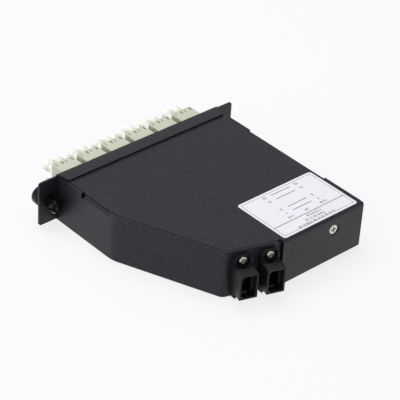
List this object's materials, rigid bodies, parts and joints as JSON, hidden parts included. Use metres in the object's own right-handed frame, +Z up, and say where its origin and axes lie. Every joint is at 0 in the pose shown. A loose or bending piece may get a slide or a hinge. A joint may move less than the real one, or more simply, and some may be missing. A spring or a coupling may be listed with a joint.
{
  "type": "fiber optic cassette",
  "caption": "Black sheet-metal fibre cassette with capped LC adapters on a flanged front plate and two MPO adapters on its angled rear wall.",
  "frame": {"origin": "midway between the two panel fasteners, on the rear face of the front plate's ears", "axes": "+X along the front plate towards the tapered side, +Y from the front plate to the rear, +Z up out of the cover"},
  "size_m": [0.13, 0.1426, 0.0283],
  "materials": {
    "black_powder_coat": "fine black powder coat, slightly textured",
    "bright_zinc": "bright zinc plated steel",
    "label_stock": "white satin label stock",
    "beige_plastic": "beige moulded plastic",
    "clear_cap": "translucent soft plastic",
    "ceramic": "white zirconia",
    "aqua_jacket": "aqua fibre jacket",
    "black_plastic": "black moulded plastic",
    "black_nylon": "black nylon"
  },
  "bodies": {
    "cassette": {"tray": "black_powder_coat", "cover": "black_powder_coat", "cover_screw": "bright_zinc", "clinch_nut": "bright_zinc", "label": "label_stock", "lc_adapter_u1": "beige_plastic", "lc_adapter_u2": "beige_plastic", "lc_adapter_u3": "beige_plastic", "lc_adapter_u4": "beige_plastic", "lc_adapter_u5": "beige_plastic", "lc_adapter_u6": "beige_plastic", "lc_adapter_l1": "beige_plastic", "lc_adapter_l2": "beige_plastic", "lc_adapter_l3": "beige_plastic", "lc_adapter_l4": "beige_plastic", "lc_adapter_l5": "beige_plastic", "lc_adapter_l6": "beige_plastic", "dust_caps_upper": "clear_cap", "dust_caps_lower": "clear_cap", "sleeves": "ceramic", "lc_plugs_upper": "beige_plastic", "lc_plugs_lower": "beige_plastic", "leads_upper": "aqua_jacket", "leads_lower": "aqua_jacket", "fan_out_upper": "black_plastic", "fan_out_lower": "black_plastic", "trunk_upper": "aqua_jacket", "trunk_lower": "aqua_jacket", "mpo_plug_a": "black_plastic", "mpo_plug_b": "black_plastic", "mpo_adapter_a": "black_plastic", "mpo_adapter_b": "black_plastic", "mpo_screws": "bright_zinc", "grommet_left": "black_nylon", "grommet_right": "black_nylon"},
    "left_plunger": {"plunger_left": "black_nylon"},
    "right_plunger": {"plunger_right": "black_nylon"}
  },
  "joints": [
    {"name": "left_plunger_pull", "type": "slide", "parent": "cassette", "child": "left_plunger", "axis": [0, -1, 0], "range_m": [0, 0.0045]},
    {"name": "right_plunger_pull", "type": "slide", "parent": "cassette", "child": "right_plunger", "axis": [0, -1, 0], "range_m": [0, 0.0045]}
  ]
}
